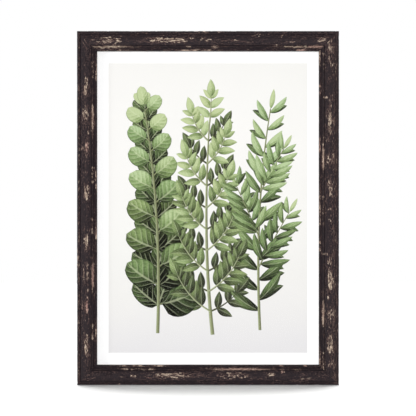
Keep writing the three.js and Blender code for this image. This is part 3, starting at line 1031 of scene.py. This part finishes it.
def round_leaved_sprig(leaf, stem, draw):
    """A tall stem whose round leaves take turns, with darker ones behind them."""
    course = ROUND_LEAVED_STEM
    top = course[2]
    height = top[1] - course[0][1]
    behind, fronts = [], []
    t, hand = 0.12, 1
    while t < 0.97:
        node = curve_point(*course, t)
        lean = heading(course, t)
        size = 52 - 30 * t
        turn = lean + hand * (68 - 24 * t + draw.uniform(-9, 9))
        look = {"lean": draw.uniform(-0.25, 0.25), "cool": draw.uniform(0.2, 1), "lit": -hand}
        tone = tone_at(node[1], draw)
        fronts.append(stroke(stem, node, aimed(node, turn, 9), 0.04, (2, 1.4), tone=0.7))
        base, tip = aimed(node, turn, 5), aimed(node, turn, size + 5)
        wide = (size * 0.86, size * 0.74)
        fronts.append(stroke(leaf, base, tip, 0.1 * hand, wide, tone=tone, **look))
        for side, share in ((-1, 0.2), (0.35, 0.38)):
            angle = lean + side * hand * (56 - 16 * t + draw.uniform(-9, 9))
            look.update(tone=share * tone, lit=-1)
            far = aimed(node, angle, size * 0.9)
            behind.append(stroke(leaf, node, far, -0.06 * hand, (size * 0.66, size * 0.6), **look))
        t += 0.52 * size / height
        hand = -hand
    for angle, size in ((-34, 19), (30, 17), (-2, 24)):
        tip = aimed(top, heading(course, 1) + angle, size)
        fronts.append(stroke(leaf, top, tip, 0.04, (size * 0.62, size * 0.56), tone=0.96))
    main = bent_stroke(stem, course, (4.4, 1.6), tone=0.75)
    return behind + [main] + fronts


def frond(leaf, stem, start, end, bend, pairs, size, share, draw):
    """A side branch with leaflets in pairs and one at its tip."""
    rib = stroke(stem, start, end, bend, (2.4, 1), tone=0.9 * share)
    leaflets = []
    for i in range(pairs):
        t = 0.2 + 0.72 * i / (pairs - 1)
        node = curve_point(*rib["course"], t)
        lean = heading(rib["course"], t)
        long = size * (0.86 + 0.3 * math.sin(math.pi * t)) * (1 - 0.28 * t)
        for hand in (-1, 1):
            tip = aimed(node, lean + hand * (58 - 16 * t + draw.uniform(-6, 6)), long)
            look = {"lean": draw.uniform(-0.2, 0.2), "tone": tone_at(node[1], draw, share)}
            look["cool"] = draw.uniform(0.0, 0.4)
            leaflets.append(stroke(leaf, node, tip, -0.08 * hand, (long * 0.44, long * 0.44), **look))
    tip = aimed(end, heading(rib["course"], 1), size)
    tone = tone_at(end[1], draw, share)
    leaflets.append(stroke(leaf, end, tip, 0.03, (size * 0.46, size * 0.46), tone=tone))
    return leaflets + [rib]


def feathered_sprig(leaf, stem, draw):
    """A tall stem whose side branches carry pairs of pointed leaflets."""
    top = FEATHERED_STEM[2]
    behind, before = [], []
    for i in range(FRONDS):
        t = 0.12 + 0.8 * i / (FRONDS - 1)
        node = curve_point(*FEATHERED_STEM, t)
        hand = 1 if i % 2 else -1
        reach = 66 - 26 * t
        end = aimed(node, hand * (44 - 14 * t), reach)
        before += frond(leaf, stem, node, end, 0.16 * hand, 4 if t > 0.6 else 5, 27 - 5 * t, 1.0, draw)
        far = aimed(node, -hand * (56 - 14 * t), reach * 0.72)
        behind += frond(leaf, stem, node, far, -0.14 * hand, 3, 24 - 4 * t, 0.3, draw)
    crown = frond(leaf, stem, top, top + (2, 34), 0.04, 3, 23, 1.05, draw)
    main = bent_stroke(stem, FEATHERED_STEM, (5, 1.8), tone=0.8, cool=0.2)
    return behind + [main] + before + crown


def slim_leaved_sprig(leaf, stem, draw):
    """A leaning stem with three side shoots and slim leaves that take turns."""
    shoots = [(SLIM_LEAVED_STEM, 22, 48)]
    for t, angle, reach in SLIM_SHOOTS:
        start = curve_point(*SLIM_LEAVED_STEM, t)
        end = aimed(start, angle, reach)
        pull = (start + end) / 2 + (-4 if angle > 0 else 3, -5)
        shoots.append(((start, pull, end), 12, 38))
    stems, behind, before = [], [], []
    for order, (course, count, long) in enumerate(shoots):
        wide = (3.8, 1.4) if order == 0 else (2, 1)
        stems.append(bent_stroke(stem, course, wide, tone=0.75, cool=0.5))
        for i in range(count):
            t = 0.08 + 0.9 * i / (count - 1)
            node = curve_point(*course, t)
            hand = 1 if (i + order) % 2 else -1
            size = long * (1 - 0.36 * t) + draw.uniform(-3, 3)
            wide = (size * 0.26, size * 0.26)
            turn = heading(course, t) + hand * (48 - 16 * t + draw.uniform(-8, 8))
            look = {"lean": draw.uniform(-0.25, 0.25), "cool": draw.uniform(0.6, 1)}
            tone = tone_at(node[1], draw)
            tip = aimed(node, turn, size)
            before.append(stroke(leaf, node, tip, 0.1 * hand, wide, tone=tone, **look))
            back = aimed(node, turn + hand * draw.uniform(14, 30), size * 0.8)
            look["tone"] = 0.3 * tone
            behind.append(stroke(leaf, node, back, -0.1 * hand, wide, **look))
        tip = aimed(course[2], heading(course, 1), long * 0.55)
        before.append(stroke(leaf, course[2], tip, 0.03, (long * 0.14, long * 0.14), tone=0.95))
    return behind + stems + before


def botanical_design():
    """Three sprigs that stand side by side on the printed field."""
    kinds = (
        ("round_leaf", lambda t: 0.5 * math.sqrt(max(0.0, 1 - (2 * t - 1) ** 2)), 5, 0.35, 0.55),
        ("pointed_leaf", lambda t: 0.5 * math.sin(math.pi * t ** 0.8) ** 0.85, 7, 0.3, 0.6),
        ("slim_leaf", lambda t: 0.5 * math.sin(math.pi * t ** 0.9) ** 0.75, 4, 0.5, 0.25),
    )
    leaves = [
        blade(name, 10, 4, half_width, printed_leaf(name + "_ink", *veins))
        for name, half_width, *veins in kinds
    ]
    stem = blade("stem", 14, 2, lambda t: 0.5, printed_stem())
    front = -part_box("print_sheet")[1][1] + PAPER_THICKNESS * MM
    draw = np.random.default_rng(SEED)
    sprigs = (("left", round_leaved_sprig), ("middle", feathered_sprig), ("right", slim_leaved_sprig))
    for (side, sprig), leaf in zip(sprigs, leaves):
        print_sprig("sprig_" + side, sprig(leaf, stem, draw), front)
    for pattern in (*leaves, stem):
        bpy.data.objects.remove(pattern)


def softened(node, name, width, material, slot):
    """A copy of a CAD piece whose corners are rounded off."""
    deselect_all()
    piece = duplicate(bpy.data.objects[node])
    piece.select_set(True)
    bpy.context.view_layer.objects.active = piece
    edit()
    select_mesh()
    bpy.ops.mesh.remove_doubles(threshold=0.001 * MM)
    bpy.ops.mesh.dissolve_limited(angle_limit=math.radians(1))
    leave_edit()
    bevel = piece.modifiers.new("rounded", "BEVEL")
    bevel.width = width * MM
    bevel.segments = 2
    bevel.limit_method = "ANGLE"
    bevel.angle_limit = SHARP_TURN
    bpy.ops.object.modifier_apply(modifier=bevel.name)
    bpy.ops.object.shade_smooth_by_angle(angle=math.radians(35))
    dress(piece, name, material, slot, node)


def fixings():
    """The board and the fixings round it."""
    zinc = plated_steel("zinc_plate", srgb(138, 141, 144), srgb(196, 198, 199), 0.34)
    bright = plated_steel("bright_steel", srgb(150, 150, 152), srgb(214, 213, 211), 0.26)
    rubber = black_rubber()
    softened("backing_board", "fibre_back", 0.4, fibreboard(), "backing_fibreboard")
    softened("sawtooth_hanger", "hanger_strip", 0.16, zinc, "hanger_steel")
    for side in ("left", "right"):
        softened("hanger_screw_" + side, "screw_" + side, 0.1, bright, "screw_steel")
        softened("bumper_" + side, "rubber_foot_" + side, 0.3, rubber, "bumper_rubber")
    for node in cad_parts:
        if node.startswith("tab_"):
            softened(node, "spring_" + node, 0.1, zinc, "tab_steel")
        if node.startswith("v_nail_"):
            softened(node, "bent_" + node, 0.08, bright, "nail_steel")


def glaze():
    pane = bpy.data.objects["glazing"]
    pane.data.materials.clear()
    pane.data.materials.append(low_reflection_glass())


def stage_and_light():
    """A pale floor, a white surround, two lights in front and a broad one behind and above."""
    scene = bpy.context.scene
    scene.view_settings.view_transform = "Standard"

    deselect_all()
    under = BOTTOM_Z - FLOOR_GAP * MM
    bpy.ops.mesh.primitive_plane_add(size=FLOOR_SIZE, location=(0, 0, under))
    floor = bpy.context.object
    floor.name = "floor"
    pale = Surface("pale_floor")
    pale.finish(base_color=(0.86, 0.86, 0.86), roughness=0.9, specular_ior_level=0.0)
    pale.finish(emission_color=WHITE, emission_strength=FLOOR_GLOW)
    floor.data.materials.append(pale.material)
    floor.visible_diffuse = False

    world = bpy.data.worlds.new("studio")
    scene.world = world
    nodes = Nodes(world)
    nodes.tree.nodes.clear()
    glows = [
        nodes.node("Background", {"Color": WHITE, "Strength": strength}).outputs[0]
        for strength in (SURROUND_LIGHT, SURROUND_SEEN)
    ]
    seen = nodes.node("LightPath", {}).outputs["Is Camera Ray"]
    both = nodes.node("MixShader", {0: seen, 1: glows[0], 2: glows[1]}).outputs[0]
    nodes.node("OutputWorld", {"Surface": both})

    for name, towards, strength, spread in LIGHTS:
        towards = Vector(towards)
        bpy.ops.object.light_add(type="SUN", location=towards * 3)
        lamp = bpy.context.object
        lamp.name = name
        lamp.rotation_euler = towards.to_track_quat("Z", "Y").to_euler()
        lamp.data.energy = strength
        lamp.data.angle = math.radians(spread)
        # The pane would mirror the light in front as a spot
        lamp.visible_glossy = name != "front_light"


def camera():
    place = Vector((0, FRONT_Y - CAMERA_DISTANCE, MIDDLE_Z))
    bpy.ops.object.camera_add(location=place, rotation=(math.radians(90), 0, 0))
    eye = bpy.context.object
    eye.name = "camera"
    eye.data.sensor_width = SENSOR_WIDTH
    eye.data.lens = SENSOR_WIDTH * CAMERA_DISTANCE / SEEN_WIDTH
    eye.data.clip_end = 50
    bpy.context.scene.camera = eye


camera()
stage_and_light()
rails(distressed_wood())
printed_sheet()
botanical_design()
glaze()
fixings()
